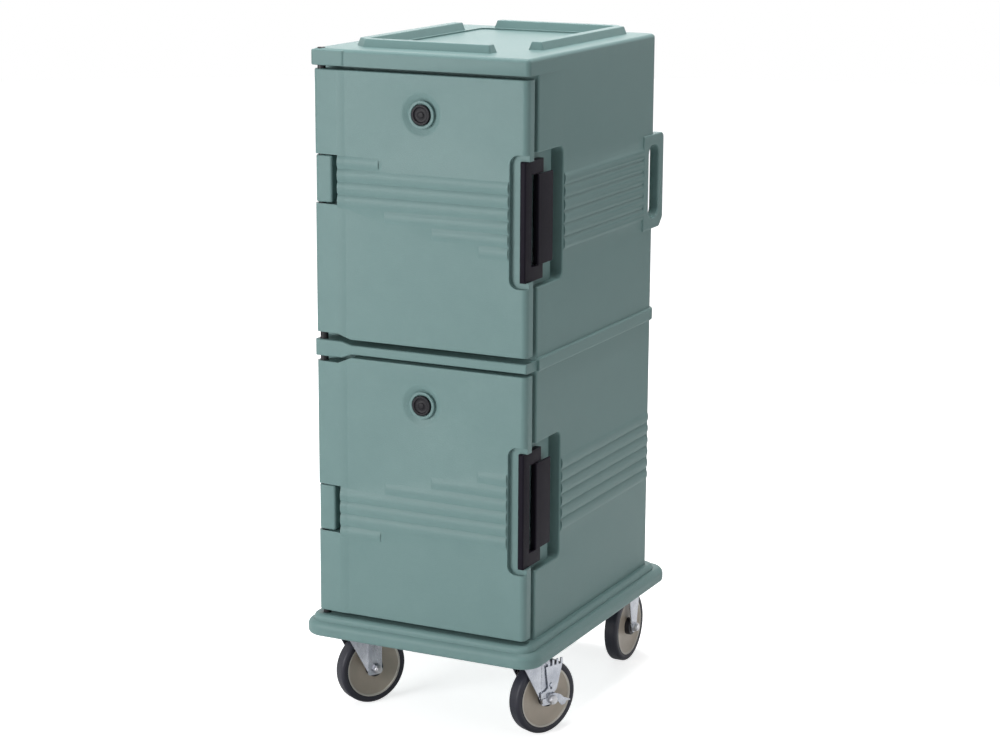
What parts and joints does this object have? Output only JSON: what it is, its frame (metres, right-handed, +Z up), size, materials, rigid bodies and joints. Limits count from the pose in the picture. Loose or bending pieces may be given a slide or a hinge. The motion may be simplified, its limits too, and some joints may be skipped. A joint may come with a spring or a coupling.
{
  "type": "insulated food pan carrier",
  "caption": "Tall insulated pan carrier with stacked compartments, doors hinged on one side, edge latches, vents, a flared base on swivel and rigid casters, and lifting handles.",
  "frame": {"origin": "on the floor under the centre of the base flange", "axes": "+X to the right seen from the front, with the hinges at -X and the latches at +X; the doors face -Y; +Z up"},
  "size_m": [0.5214, 0.6917, 1.372],
  "materials": {
    "cabinet_plastic": "fine moulded grain, slate blue-green, slightly shiny",
    "door_plastic": "fine moulded grain, slate blue-green, a touch lighter in the light from the front",
    "foam": "rigid cream foam with fine closed cells",
    "gasket": "soft dark grey rubber, matt",
    "hinge_pin": "smooth dark grey-green nylon rod",
    "latch_plastic": "black nylon with fine grain",
    "strike_plastic": "black nylon, polished along the ridge",
    "vent_plastic": "black nylon, slightly shiny",
    "ring_rubber": "soft black sealing ring",
    "tyre_rubber": "dark grey elastomer, faint scuffs on the tread",
    "hub_plastic": "warm taupe hard plastic, dusty",
    "bearing_sleeve": "black nylon, smooth and slightly greased",
    "pin_steel": "stainless steel",
    "ball_steel": "polished bearing steel",
    "zinc_steel": "bright zinc plate with a bluish tint, light handling wear"
  },
  "bodies": {
    "cabinet": {"cabinet_shell": "cabinet_plastic", "cabinet_foam": "foam", "upper_hinge_pin": "hinge_pin", "lower_hinge_pin": "hinge_pin", "upper_latch_strike": "strike_plastic", "lower_latch_strike": "strike_plastic", "strike_screws": "pin_steel", "caster_bolts": "zinc_steel", "front_left_caster_plate": "zinc_steel", "front_right_caster_plate": "zinc_steel", "front_left_kingpin": "zinc_steel", "front_right_kingpin": "zinc_steel", "rear_left_caster_frame": "zinc_steel", "rear_right_caster_frame": "zinc_steel", "rear_left_axle": "zinc_steel", "rear_right_axle": "zinc_steel", "rear_axle_nuts": "zinc_steel", "swivel_lock_ring": "zinc_steel"},
    "upper_door": {"upper_door_shell": "door_plastic", "upper_door_foam": "foam", "upper_door_gasket": "gasket", "upper_latch_frame": "latch_plastic", "upper_latch_pin": "pin_steel", "upper_vent_ring": "ring_rubber"},
    "upper_latch_lever": {"upper_latch_lever": "latch_plastic"},
    "upper_vent": {"upper_vent_cap": "vent_plastic", "upper_vent_nut": "vent_plastic"},
    "lower_door": {"lower_door_shell": "door_plastic", "lower_door_foam": "foam", "lower_door_gasket": "gasket", "lower_latch_frame": "latch_plastic", "lower_latch_pin": "pin_steel", "lower_vent_ring": "ring_rubber"},
    "lower_latch_lever": {"lower_latch_lever": "latch_plastic"},
    "lower_vent": {"lower_vent_cap": "vent_plastic", "lower_vent_nut": "vent_plastic"},
    "front_left_swivel": {"front_left_fork": "zinc_steel", "front_left_race_balls": "ball_steel", "front_left_axle": "zinc_steel", "front_left_axle_nut": "zinc_steel"},
    "front_left_wheel": {"front_left_tyre": "tyre_rubber", "front_left_hub": "hub_plastic", "front_left_bearing": "bearing_sleeve"},
    "front_right_swivel": {"front_right_fork": "zinc_steel", "front_right_race_balls": "ball_steel", "front_right_axle": "zinc_steel", "front_right_axle_nut": "zinc_steel", "lock_rivet": "zinc_steel"},
    "front_right_wheel": {"front_right_tyre": "tyre_rubber", "front_right_hub": "hub_plastic", "front_right_bearing": "bearing_sleeve"},
    "brake_lever": {"brake_lever": "zinc_steel"},
    "lock_plate": {"lock_plate": "zinc_steel"},
    "rear_left_wheel": {"rear_left_tyre": "tyre_rubber", "rear_left_hub": "hub_plastic", "rear_left_bearing": "bearing_sleeve"},
    "rear_right_wheel": {"rear_right_tyre": "tyre_rubber", "rear_right_hub": "hub_plastic", "rear_right_bearing": "bearing_sleeve"}
  },
  "joints": [
    {"name": "upper_door_hinge", "type": "hinge", "parent": "cabinet", "child": "upper_door", "pos_m": [-0.217, -0.31, 1.05], "axis": [0, 0, -1], "range_deg": [0, 210]},
    {"name": "upper_latch_pivot", "type": "hinge", "parent": "upper_door", "child": "upper_latch_lever", "pos_m": [0.2215, -0.262, 1.05], "axis": [0, 0, -1], "range_deg": [0, 50]},
    {"name": "upper_vent_turn", "type": "hinge", "parent": "upper_door", "child": "upper_vent", "pos_m": [0.0057, -0.319, 1.2408], "axis": [0, -1, 0], "range_deg": [0, 90]},
    {"name": "lower_door_hinge", "type": "hinge", "parent": "cabinet", "child": "lower_door", "pos_m": [-0.217, -0.31, 0.487], "axis": [0, 0, -1], "range_deg": [0, 210]},
    {"name": "lower_latch_pivot", "type": "hinge", "parent": "lower_door", "child": "lower_latch_lever", "pos_m": [0.2215, -0.262, 0.487], "axis": [0, 0, -1], "range_deg": [0, 50]},
    {"name": "lower_vent_turn", "type": "hinge", "parent": "lower_door", "child": "lower_vent", "pos_m": [0.0057, -0.319, 0.675], "axis": [0, -1, 0], "range_deg": [0, 90]},
    {"name": "front_left_swivel_turn", "type": "hinge", "parent": "cabinet", "child": "front_left_swivel", "pos_m": [-0.197, -0.239, 0.165], "axis": [0, 0, 1], "continuous": true},
    {"name": "front_left_wheel_spin", "type": "hinge", "parent": "front_left_swivel", "child": "front_left_wheel", "pos_m": [-0.17736, -0.20415, 0.0762], "axis": [0.8712, -0.4909, 0], "continuous": true},
    {"name": "front_right_swivel_turn", "type": "hinge", "parent": "cabinet", "child": "front_right_swivel", "pos_m": [0.197, -0.239, 0.165], "axis": [0, 0, 1], "continuous": true},
    {"name": "front_right_wheel_spin", "type": "hinge", "parent": "front_right_swivel", "child": "front_right_wheel", "pos_m": [0.21333, -0.20249, 0.0762], "axis": [0.9128, -0.4083, 0], "continuous": true},
    {"name": "brake_press", "type": "hinge", "parent": "front_right_swivel", "child": "brake_lever", "pos_m": [0.21333, -0.20249, 0.0762], "axis": [-0.9128, 0.4083, 0], "range_deg": [0, 14]},
    {"name": "lock_plate_lift", "type": "slide", "parent": "front_right_swivel", "child": "lock_plate", "axis": [0, 0, 1], "range_m": [0, 0.0056]},
    {"name": "rear_left_wheel_spin", "type": "hinge", "parent": "cabinet", "child": "rear_left_wheel", "pos_m": [-0.187, 0.272, 0.0762], "axis": [1, 0, 0], "continuous": true},
    {"name": "rear_right_wheel_spin", "type": "hinge", "parent": "cabinet", "child": "rear_right_wheel", "pos_m": [0.187, 0.272, 0.0762], "axis": [1, 0, 0], "continuous": true}
  ],
  "couplings": [
    {"joint": "lock_plate_lift", "follows": "brake_press", "m_per_rad": 0.022}
  ]
}
